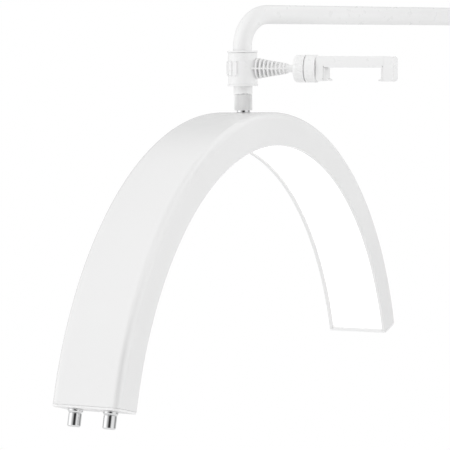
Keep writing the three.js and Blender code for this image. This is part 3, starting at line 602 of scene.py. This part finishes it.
def make_arm():
    bend_start = ARM_REACH - BEND_RADIUS
    side = Vector((0, 1, 0))
    stations = [(Vector((x, 0, 0)), side, Vector((0, 0, 1))) for x in (-ARM_TAIL, -60, 60, 220, 380)]
    steps = 36
    for i in range(steps + 1):
        a = math.pi / 2 * i / steps
        point = Vector((bend_start + BEND_RADIUS * math.sin(a), 0, BEND_RADIUS * (math.cos(a) - 1)))
        stations.append((point, side, Vector((math.sin(a), 0, math.cos(a)))))
    stations.append((Vector((ARM_REACH, 0, TUBE_BOTTOM - ARM_ABOVE_APEX)), side, Vector((1, 0, 0))))
    outer, bore = circle(TUBE_RADIUS, 64), circle(TUBE_RADIUS - TUBE_WALL, 64)
    tube = sweep("arm_tube_bent", outer, stations, BOOM, bore)
    finished(tube, "arm", "white_paint", "arm_tube")
    inner = TUBE_RADIUS - TUBE_WALL - 0.3
    plug = filleted([(0, -16, 0), (inner, -16, 0.8), (inner, FIT, 0), (TUBE_RADIUS, FIT, 0.3),
                     (TUBE_RADIUS, 4, 1.6), (0, 4, 0)], 5, False)
    made = lathe("arm_end_cap", plug, facing_tail(BOOM, x=-ARM_TAIL), 56)
    finished(made, "arm", "white_plastic", "arm_end_plug")


# ---------------------------------------------------------------- phone holder

SLEEVE_RADIUS = 17.0
RING_HEIGHT = 2.3
FIN_COUNT = 8
FIN_PITCH = 4.6
BALL_CENTRE = 74.0
CRADLE_START = 90.0
NUT_FRONT = 76.2
NUT_RADIUS = 15.8
JAW_INNER = 99.0
JAW_GAP = 70.0
JAW_END = 181.0
BAR_LOW = 1.4
BAR_HIGH = 14.4
JAW_LOW = -14.1
CRADLE_HALF = 12.0
CRADLE_CORNER = 5.0
JAW_CORNER = 3.5


def make_sleeve():
    bore = TUBE_RADIUS + 2.1
    low, top = CLIP_LOW + RING_HEIGHT + 0.06, CLIP_TOP - RING_HEIGHT - 0.22
    wall = filleted([(bore, low, 0), (SLEEVE_RADIUS, low, 0.2), (SLEEVE_RADIUS, top, 0.3), (bore, top, 0)], 4)
    finished(lathe("clip_sleeve_body", wall, CLIP, 96, True), "clip", "white_plastic", "clip_sleeve")
    edge = SLEEVE_RADIUS + 0.8
    for name, z0 in (("top", CLIP_TOP - RING_HEIGHT), ("bottom", CLIP_LOW)):
        z1 = z0 + RING_HEIGHT
        ring = filleted([(bore, z0, 0.3), (edge, z0, 0.6), (edge, z1, 0.7), (bore, z1, 0.5)], 4)
        piece = lathe(f"clip_{name}_collar", ring, CLIP, 96, True)
        finished(piece, "clip", "white_plastic", f"clip_{name}_ring")
    inside, outside = TUBE_RADIUS + FIT, bore - FIT
    liner = filleted([(inside, CLIP_LOW + 1, 0.3), (outside, CLIP_LOW + 1, 0),
                      (outside, CLIP_TOP - 1, 0), (inside, CLIP_TOP - 1, 0.3)], 3)
    made = lathe("clip_liner_sleeve", liner, CLIP, 72, True)
    finished(made, "clip", "white_silicone", "clip_liner")


def make_grip():
    """Pill-shaped ridges that stand up from a thin skin round the sleeve."""
    ridges = 4
    pitch = math.radians(22)
    centre = math.radians(143.5) - math.atan2(HOLDER_DIRECTION.y, HOLDER_DIRECTION.x)
    half_span = ridges * pitch / 2
    half_height = 9.6
    pill_end, pill_half, pill_edge = 3.3, 1.75, 0.55
    low_radius, high_radius = SLEEVE_RADIUS + 0.02, SLEEVE_RADIUS + 2.1
    skin = low_radius + 0.06
    across, along = 120, 40

    def height(u, v):
        """Radius at angle u from the pad's centre and height v."""
        slot_at = (u + half_span) / pitch
        local = (slot_at - math.floor(slot_at) - 0.5) * pitch * SLEEVE_RADIUS
        pill = math.hypot(local, max(0.0, abs(v) - (half_height - pill_end)))
        rise = 1 - min(1.0, max(0.0, (pill - pill_half) / pill_edge))
        rise = rise * rise * (3 - 2 * rise)
        return skin + (high_radius - skin) * rise

    verts, faces = [], []
    for layer in (0, 1):
        for i in range(across + 1):
            for k in range(along + 1):
                u = half_span * (2 * i / across - 1)
                v = half_height * (2 * k / along - 1)
                r = height(u, v) if layer else low_radius
                verts.append((r * math.cos(centre + u), r * math.sin(centre + u), v))
    size = (across + 1) * (along + 1)
    for layer in (0, 1):
        for i in range(across):
            for k in range(along):
                a = layer * size + i * (along + 1) + k
                faces.append((a, a + 1, a + along + 2, a + along + 1))
    rim_path = [i * (along + 1) for i in range(across)]
    rim_path += [across * (along + 1) + k for k in range(along)]
    rim_path += [i * (along + 1) + along for i in range(across, 0, -1)]
    rim_path += list(range(along, 0, -1))
    for a, b in zip(rim_path, rim_path[1:] + rim_path[:1]):
        faces.append((a, b, b + size, a + size))
    finished(build("clip_thumb_grip", verts, faces, CLIP), "clip", "white_plastic", "clip_grip")


def upright_prism(name, outline, half):
    """An outline in the holder's (s, z) plane, extruded across it."""
    return prism(name, outline, -half, half, HOLDER @ Matrix.Rotation(math.pi / 2, 4, "X"))


def make_clip_arm():
    start, thick = 17.4, 2.2
    end = start + (FIN_COUNT - 1) * FIN_PITCH + thick

    def along(s, first, last):
        return first + (last - first) * (s - start) / (end - start)

    tip = 4.4
    core_first, core_last = 3.7, 4.0
    fin_first, fin_last = 12, 6.2
    profile = [(0, fin_first, 0), (core_first, fin_first, 0)]
    for i in range(FIN_COUNT):
        s = start + i * FIN_PITCH
        far = s + thick
        profile += [(along(s, core_first, core_last), s, 0.3), (along(s, fin_first, fin_last), s, 0.5),
                    (along(far, fin_first, fin_last), far, 0.5),
                    (along(far, core_first, core_last), far, 0.3)]
    profile += [(tip, end + 8, 2.0)]
    points = filleted(profile + [(tip, BALL_CENTRE - 8, 0)], 3, False)[:-1]
    ball_radius, ball_steps = 9.0, 14
    first = math.pi - math.asin(tip / ball_radius)
    for i in range(ball_steps + 1):
        a = first * (1 - i / ball_steps)
        points.append((ball_radius * math.sin(a), BALL_CENTRE + ball_radius * math.cos(a)))
    points[-1] = (0, points[-1][1])
    core = lathe("clip_arm_finned", points, HOLDER_AXIS, 72)
    rib_half = 0.9
    edge = [(14, fin_first), (start, fin_first), (end, fin_last), (end + 6, 3.6)]
    outline = [(s, -t) for s, t in edge] + edge[::-1]
    level = prism("rib_level", outline, -rib_half, rib_half, HOLDER)
    joined(core, level, upright_prism("rib_upright", outline, rib_half))
    drilled(core, prism("sleeve_cut", circle(SLEEVE_RADIUS + 0.1, 96), -30, 30, CLIP))
    finished(core, "clip", "white_plastic", "clip_arm")


def make_ball_clamp():
    flutes, flute_depth, fluted_from = 36, 0.35, 14.6

    def flute(angle, radius, z):
        if radius < fluted_from:
            return radius
        groove = (0.5 - 0.5 * math.cos(flutes * angle)) ** 3
        return radius - flute_depth * groove * min(1.0, (radius - fluted_from) / 0.6)

    mouth, bore, back, floor, rim = 8, 13.8, 63, 65.4, NUT_FRONT - 0.2
    nut = filleted([(mouth, back, 0.5), (12.6, back, 0.8), (14.9, 63.9, 2.0), (NUT_RADIUS, 66.2, 3.0),
                    (NUT_RADIUS, rim, 0.25), (bore, rim, 0.2), (bore, floor, 0), (mouth, floor, 0.2)], 6)
    made = lathe("holder_nut_fluted", nut, HOLDER_AXIS, flutes * 6, True, flute)
    finished(made, "nut", "white_plastic", "holder_nut")
    rear = NUT_FRONT + 0.9
    bore, outside, lip, front = 12.1, 13.0, 66.4, 89.4
    cup = filleted([(0, 87, 0), (8, 87, 1.0), (bore, 82, 1.0), (bore, lip, 0.2), (outside, lip, 0.2),
                    (outside, rear, 0), (NUT_RADIUS, rear, 0.3), (NUT_RADIUS, front, 0.6),
                    (0, front, 0)], 5, False)
    finished(lathe("socket_cup_turned", cup, HOLDER_AXIS, 96), "socket", "white_plastic", "socket_cup")


def make_cradle():
    """One moulding cut in two at the moving jaw, which carries a rod into the hollow bar."""
    moving = JAW_INNER + JAW_GAP
    slit = 0.06
    skin, rod_skin, rod_start = 2, 2.4, 122
    whole = upright_prism("cradle_moulding", filleted([
        (CRADLE_START, JAW_LOW, CRADLE_CORNER), (JAW_INNER, JAW_LOW, 1.5), (JAW_INNER, BAR_LOW, 0.3),
        (moving, BAR_LOW, 0.3), (moving, JAW_LOW, 1.5), (JAW_END, JAW_LOW, JAW_CORNER),
        (JAW_END, BAR_HIGH, JAW_CORNER), (CRADLE_START, BAR_HIGH, CRADLE_CORNER)], 7), CRADLE_HALF)
    rounded(whole, 1.3, 5, 50)
    jaw = copy_of(whole, "jaw_moulding")

    def beyond(s0, s1):
        return upright_prism("half", [(s0, -40), (s1, -40), (s1, 40), (s0, 40)], 40)

    def relief(s, z, radius):
        return upright_prism("relief", circle(radius, 20, s, z), CRADLE_HALF + 1)

    def bar_core(name, start, inset):
        low, high = BAR_LOW + inset, BAR_HIGH - inset
        outline = [(start, low), (moving + 3, low), (moving + 3, high), (start, high)]
        return upright_prism(name, outline, CRADLE_HALF - inset)

    hollow = bar_core("hollow", CRADLE_START + 5, skin)
    drilled(whole, beyond(moving - slit, 400), hollow, relief(JAW_INNER + 0.6, BAR_LOW + 1.1, 0.5),
            relief(moving - 0.8, BAR_LOW + 1.1, 0.5), relief(JAW_INNER - 0.2, JAW_LOW + 2.8, 0.45))
    finished(whole, "cradle", "white_plastic", "cradle_body")

    drilled(jaw, beyond(-200, moving + slit))
    joined(jaw, bar_core("jaw_rod", rod_start, rod_skin))
    finished(jaw, "jaw", "white_plastic", "moving_jaw")

    for name, node_name, inner, direction, body_name in (
        ("fixed_jaw_cushion", "fixed_jaw_pad", JAW_INNER, 1, "cradle"),
        ("moving_jaw_cushion", "moving_jaw_pad", moving, -1, "jaw"),
    ):
        near, face, lip = (inner + direction * d for d in (0.05, 2.5, 5.5))
        high, low = BAR_LOW - 0.5, JAW_LOW + 0.3
        pad = upright_prism(name, filleted([
            (near, high, 0), (face, high, 0.5), (face, JAW_LOW + 3.6, 1.0), (lip, JAW_LOW + 1.6, 0.7),
            (lip, low, 0.7), (near, low, 0)], 4), CRADLE_HALF - 0.3)
        rounded(pad, 0.5, 3, 50)
        finished(pad, body_name, "white_silicone", node_name)


# ---------------------------------------------------------------- stand

PAD_THICK = 2.0
PLATE_LOW = 2.3
PLATE_TOP = PLATE_LOW + BASE_THICK
BASE_LENGTH, BASE_WIDTH, BASE_OFFSET = 420.0, 290.0, 90.0
LOWER_POLE = 16.0
LOWER_TOP = 840.0
UPPER_POLE = 12.5
UPPER_FOOT = 480.0
STEM_RADIUS = 3
STEM_HOLE = 3.3
BOSS_RADIUS = 8
BOSS_END = 22.6


def footprint(inset, radius):
    return rectangle(BASE_OFFSET - BASE_LENGTH / 2 + inset, BASE_OFFSET + BASE_LENGTH / 2 - inset,
                     -BASE_WIDTH / 2 + inset, BASE_WIDTH / 2 - inset, radius, 12)


def screw(name, matrix, radius, shank_low, seat, height, body, look, node_name):
    """A button or cap screw with a hexagon socket."""
    shank, top = radius * 0.55, seat + height
    profile = filleted([(0, shank_low, 0), (shank, shank_low, 0), (shank, seat, 0), (radius, seat, 0.1),
                        (radius, top, radius * 0.35), (0, top, 0)], 5, False)
    made = lathe(name, profile, matrix, 48)
    hexagon = circle(radius * 0.5, 6)
    drilled(made, prism("hexagon", hexagon, seat + height * 0.35, top + 2, matrix))
    finished(made, body, look, node_name)


def star_knob(name, matrix, radius, low, high, stem_low, body, node_name):
    """A six-lobed knob with a dished face on its threaded stem."""
    lobes = 6
    neck, rim, seat, dish = radius * 0.5, radius * 0.55, low - 3, high - 1
    profile = filleted([(0, stem_low, 0), (STEM_RADIUS, stem_low, 0.2), (STEM_RADIUS, seat, 0),
                        (neck, seat, 0.4), (rim, low, 0.6), (radius, low, 1.4), (radius, high, 2.4),
                        (rim, high, 0.5), (neck, dish, 0.4), (0, dish, 0)], 5, False)

    def lobe(angle, r, z):
        if r < radius * 0.7:
            return r
        return r * (0.9 + 0.1 * math.cos(lobes * angle))

    finished(lathe(name, profile, matrix, 144, False, lobe), body, "black_plastic", node_name)


def knob_boss(name, start, matrix):
    """The raised seat that a star knob's stem goes through."""
    profile = filleted([(0, start, 0), (BOSS_RADIUS, start, 0), (BOSS_RADIUS, BOSS_END, 0.6),
                        (0, BOSS_END, 0)], 4, False)
    return lathe(name, profile, matrix, 48)


def make_stand():
    pad = rounded(prism("base_pad_sheet", footprint(6, 24), 0, PAD_THICK, STAND), 0.5, 2, 60)
    finished(pad, "stand", "black_rubber", "base_pad")
    plate = rounded(prism("base_plate_cast", footprint(0, 30), PLATE_LOW, PLATE_TOP, STAND), 2.2, 5, 60)
    finished(plate, "stand", "white_paint", "base_plate")

    low = PLATE_TOP + FIT
    bore = LOWER_POLE + FIT
    flange_radius, neck_height, bolt_circle = 38, 28, 29
    flange = filleted([(bore, low, 0), (flange_radius, low, 0.4), (flange_radius, low + 5, 1.2),
                       (24, low + 8, 5), (20, low + neck_height, 1.2), (bore, low + neck_height, 0.4)], 6)
    body = lathe("pole_flange_cast", flange, STAND, 96, True)
    spots = []
    for i in range(3):
        a = 2 * math.pi * i / 3
        spots.append(STAND @ Matrix.Translation((bolt_circle * math.cos(a), bolt_circle * math.sin(a), 0)))
    drilled(body, *[prism("screw_hole", circle(2.7, 24), low - 2, low + 20, spot) for spot in spots])
    finished(body, "stand", "white_paint", "pole_flange")
    for i, spot in enumerate(spots):
        screw(f"flange_bolt_{i + 1}", spot, 4.1, low + 0.4, low + 7.9, 3, "stand", "steel",
              f"flange_screw_{i + 1}")

    inside = LOWER_POLE - POLE_WALL
    pipe = filleted([(inside, low + 0.3, 0), (LOWER_POLE, low + 0.3, 0), (LOWER_POLE, LOWER_TOP, 0.4),
                     (inside, LOWER_TOP, 0.4)], 3)
    finished(lathe("lower_pole_tube", pipe, STAND, 80, True), "stand", "white_paint", "lower_pole")

    step = LOWER_TOP + 0.6
    foot, head, knob_height = 798, 848, 820
    radius, groove, mouth = 21.5, 20.8, UPPER_POLE + FIT
    collar = filleted([(bore, foot, 0.3), (20.5, foot, 0.8), (radius, 800.5, 0.5), (radius, 806, 0.3),
                       (groove, 806.6, 0.3), (groove, 808, 0.3), (radius, 808.6, 0.3),
                       (radius, 844, 1.5), (18.5, head, 1.2), (mouth, head, 0.5),
                       (mouth, step, 0), (bore, step, 0)], 5)
    made = lathe("height_collar_moulded", collar, STAND, 96, True)
    tail_knob = facing_tail(STAND, z=knob_height)
    joined(made, knob_boss("knob_boss", 17.5, tail_knob))
    drilled(made, prism("knob_hole", circle(STEM_HOLE, 32), 10, 30, tail_knob))
    finished(made, "stand", "white_plastic", "height_collar")
    star_knob("height_knob_star", tail_knob, 15, 26, 38, 16.3, "height_knob", "height_lock_knob")

    top = BOOM.translation.z / MM - 23
    inside = UPPER_POLE - POLE_WALL
    upper = filleted([(inside, UPPER_FOOT, 0), (UPPER_POLE, UPPER_FOOT, 0.3), (UPPER_POLE, top, 0.3),
                      (inside, top, 0)], 3)
    finished(lathe("upper_pole_tube", upper, STAND, 80, True), "mast", "chrome", "upper_pole")


def make_boom_clamp():
    half_length, half_width, gap = 27.0, 23.0, 0.3
    across = BOOM @ Matrix(((0, 0, 1, 0), (1, 0, 0, 0), (0, 1, 0, 0), (0, 0, 0, 1)))

    def arm_bore():
        return prism("arm_bore", circle(TUBE_RADIUS + FIT, 96), -half_length - 5, half_length + 5, across)

    saddle = filleted([(-half_width, -gap, 0.8), (-half_width, -20, 8), (half_width, -20, 8),
                       (half_width, -gap, 0.8)], 8)
    body = rounded(prism("boom_clamp_saddle", saddle, -half_length, half_length, across), 0.7, 3, 60)
    foot, top_end, radius, groove = -78, -17, 20.5, 19.8
    socket = filleted([(0, foot, 0), (18.5, foot, 0.6), (radius, -76, 1.0), (radius, -72, 0.4),
                       (groove, -71.4, 0.3), (groove, -70, 0.3), (radius, -69.4, 0.4),
                       (radius, top_end, 0), (0, top_end, 0)], 4, False)
    tail_knob = facing_tail(BOOM, z=-54)
    boss = knob_boss("swivel_boss", 16, tail_knob)
    drilled(body, arm_bore())
    joined(body, lathe("socket", socket, BOOM, 80), boss)
    holes = [prism("pole_bore", circle(UPPER_POLE + FIT, 96), -90, -22.4, BOOM),
             prism("knob_hole", circle(STEM_HOLE, 32), 8, 30, tail_knob)]
    screw_spots = [BOOM @ Matrix.Translation((0, side * 18.2, 0)) for side in (-1, 1)]
    holes += [prism("screw_hole", circle(2.8, 24), -16, 5, spot) for spot in screw_spots]
    drilled(body, *holes)
    finished(body, "boom", "white_plastic", "boom_clamp_body")

    half = [(half_width, gap, 0.5), (half_width, 9, 2.0), (13.9, 9, 0.8), (12.2, 19, 4.5)]
    cap = filleted(half + [(-x, y, r) for x, y, r in reversed(half)], 6)
    top = rounded(prism("boom_clamp_top", cap, -half_length, half_length, across), 0.9, 4, 60)
    cutters = [arm_bore(), prism("lock_hole", circle(STEM_HOLE, 32), 5, 30, BOOM)]
    cutters += [prism("screw_hole", circle(2.8, 24), -5, 20, spot) for spot in screw_spots]
    drilled(top, *cutters)
    finished(top, "boom", "white_plastic", "boom_clamp_cap")
    for i, spot in enumerate(screw_spots):
        screw(f"boom_cap_bolt_{i + 1}", spot, 3.9, -15, 9.3, 4.4, "boom", "steel",
              f"boom_cap_screw_{i + 1}")
    star_knob("reach_knob_star", BOOM, 14, 24, 36, 11.3, "reach_knob", "reach_lock_knob")
    star_knob("swivel_knob_star", tail_knob, 14, 26, 37, 12.8, "swivel_knob", "swivel_lock_knob")


# ---------------------------------------------------------------- build everything

make_shell()
make_diffuser()
make_end_cap("knob_end_plate", KNOB_END,
             [(0, -KNOB_SPACING / 2, 4.5), (0, KNOB_SPACING / 2, 4.5)], "knob_end_cap")
make_knob("dimmer", -KNOB_SPACING / 2)
make_knob("colour", KNOB_SPACING / 2)
make_end_cap("inlet_end_plate", INLET_END, [make_inlet()], "inlet_end_cap")
make_neck()
make_arm()
make_sleeve()
make_grip()
make_clip_arm()
make_ball_clamp()
make_cradle()
make_stand()
make_boom_clamp()
carry_over()

# ---------------------------------------------------------------- studio


def make_floor():
    material, tree, shader = principled("studio_floor", (0.93, 0.93, 0.93), 0.7)
    shade_of = blend_colours(tree, noise(tree, 1.5, 2.0), (0.93, 0.93, 0.93), (0.915, 0.915, 0.915))
    tree.links.new(shade_of, shader.inputs["Base Color"])
    floor = prism("studio_floor", circle(3200.0, 128), -6, -0.05, place((0, 0, 0), (1, 0, 0), UP))
    floor.data.materials.append(material)


# Brightness round the horizon by angle from the camera's side, positive to the picture's right, in degrees
HORIZON = [(-180, 0.52), (-150, 0.52), (-118, 0.6), (-94, 0.95), (-75, 1.04), (-52, 0.78), (-36, 0.45),
           (-20, 0.3), (-12, 0.05), (0, 0.02), (20, 0.04), (32, 0.5), (42, 0.7), (76, 0.7), (92, 0.42),
           (104, 0.22), (120, 0.24), (134, 0.5), (180, 0.52)]
# Brightness by height of the direction, from straight down to straight up
HEIGHTS = [(-1.0, 0.86), (-0.3, 1.0), (0.2, 1.0), (0.6, 0.86), (1.0, 0.62)]
WORLD_STRENGTH = 1.28
PICTURE_RIGHT = (0.439, -0.898, 0)
TOWARDS_CAMERA = (-0.898, -0.439, 0)


def make_world():
    """A light tent: white to the camera, with bright sides and a dark camera side for the lamp."""
    world = bpy.data.worlds.new("studio")
    bpy.context.scene.world = world
    world.use_nodes = True
    tree = world.node_tree
    tree.nodes.clear()
    output = node(tree, "ShaderNodeOutputWorld")
    camera_side = node(tree, "ShaderNodeBackground", Strength=1.0)
    camera_side.inputs["Color"].default_value = (1, 1, 1, 1)
    light_side = node(tree, "ShaderNodeBackground", Strength=WORLD_STRENGTH)
    direction = node(tree, "ShaderNodeTexCoord").outputs["Generated"]

    def maths(operation, *sources):
        made = node(tree, "ShaderNodeMath", operation=operation)
        for slot, source in zip(made.inputs, sources):
            if isinstance(source, (int, float)):
                slot.default_value = source
            else:
                tree.links.new(source, slot)
        return made.outputs[0]

    def component(axis):
        made = node(tree, "ShaderNodeVectorMath", operation="DOT_PRODUCT")
        tree.links.new(direction, made.inputs[0])
        made.inputs[1].default_value = axis
        return made.outputs["Value"]

    def graph(source, stops, low, high):
        """A piecewise curve of (position, value) stops."""
        place_on = map_range(tree, source, low, high)
        ramp = node(tree, "ShaderNodeValToRGB")
        elements = ramp.color_ramp.elements
        while len(elements) < len(stops):
            elements.new(0.5)
        for element, (at, value) in zip(elements, stops):
            element.position = (at - low) / (high - low)
            element.color = (value, value, value, 1)
        tree.links.new(place_on, ramp.inputs["Fac"])
        return ramp.outputs["Color"]

    height = component((0, 0, 1))
    angle = maths("ARCTAN2", component(PICTURE_RIGHT), component(TOWARDS_CAMERA))
    horizon = graph(angle, [(math.radians(a), value) for a, value in HORIZON], -math.pi, math.pi)
    level = map_range(tree, maths("ABSOLUTE", height), 0.85, 0.5, interpolation_type="SMOOTHSTEP")
    sides = maths("ADD", maths("MULTIPLY", level, horizon), maths("SUBTRACT", 1.0, level))
    brightness = maths("MULTIPLY", sides, graph(height, HEIGHTS, -1.0, 1.0))
    tree.links.new(brightness, light_side.inputs["Color"])
    path = node(tree, "ShaderNodeLightPath")
    mix = node(tree, "ShaderNodeMixShader")
    tree.links.new(path.outputs["Is Camera Ray"], mix.inputs["Fac"])
    tree.links.new(light_side.outputs["Background"], mix.inputs[1])
    tree.links.new(camera_side.outputs["Background"], mix.inputs[2])
    tree.links.new(mix.outputs["Shader"], output.inputs["Surface"])


def soft_light(name, location, target, size, power):
    """A fill that polished parts do not mirror."""
    light = bpy.data.lights.new(name, "AREA")
    light.shape = "DISK"
    light.size = size
    light.energy = power
    obj = new_object(name, light)
    obj.location = location
    obj.rotation_euler = (Vector(target) - Vector(location)).to_track_quat("-Z", "Y").to_euler()
    obj.visible_glossy = False
    obj.visible_camera = False


def make_camera():
    """The view of the photograph, from the near leg's side."""
    from_centre = Vector((-5.2915, -2.5613, 1.1029))  # in head radii
    yaw, pitch, roll = (math.radians(a) for a in (63.592, -4.27, -0.805))
    forward = Vector((math.sin(yaw) * math.cos(pitch), math.cos(yaw) * math.cos(pitch),
                      math.sin(pitch)))
    right = Vector((math.cos(yaw), -math.sin(yaw), 0))
    up = right.cross(forward)
    tilted_right = right * math.cos(roll) + up * math.sin(roll)
    tilted_up = up * math.cos(roll) - right * math.sin(roll)
    turn = Matrix((tilted_right, tilted_up, -forward)).transposed().to_4x4()
    camera = new_object("camera", bpy.data.cameras.new("camera"))
    camera.data.lens = 157.5
    camera.data.sensor_width = 36.0
    camera.data.clip_end = 100.0
    camera.matrix_world = Matrix.Translation(ARC_CENTRE + from_centre * HEAD_RADIUS * MM) @ turn
    bpy.context.scene.camera = camera


make_floor()
make_world()
make_camera()
soft_light("left_fill", ARC_CENTRE + Vector((-2.8, 1.9, -0.5)), ARC_CENTRE, 1.4, 12.0)
soft_light("front_fill", ARC_CENTRE + Vector((5.2, -6.1, 1.0)), ARC_CENTRE, 3.3, 185.0)
soft_light("camera_fill", ARC_CENTRE + Vector((-3.2, -1.6, 0.2)), ARC_CENTRE, 2.0, 14.0)
soft_light("holder_fill", (-1.2, -0.15, 2.05), (-0.42, 0.2, 1.46), 0.7, 1.6)
bpy.context.scene.view_settings.view_transform = "Standard"
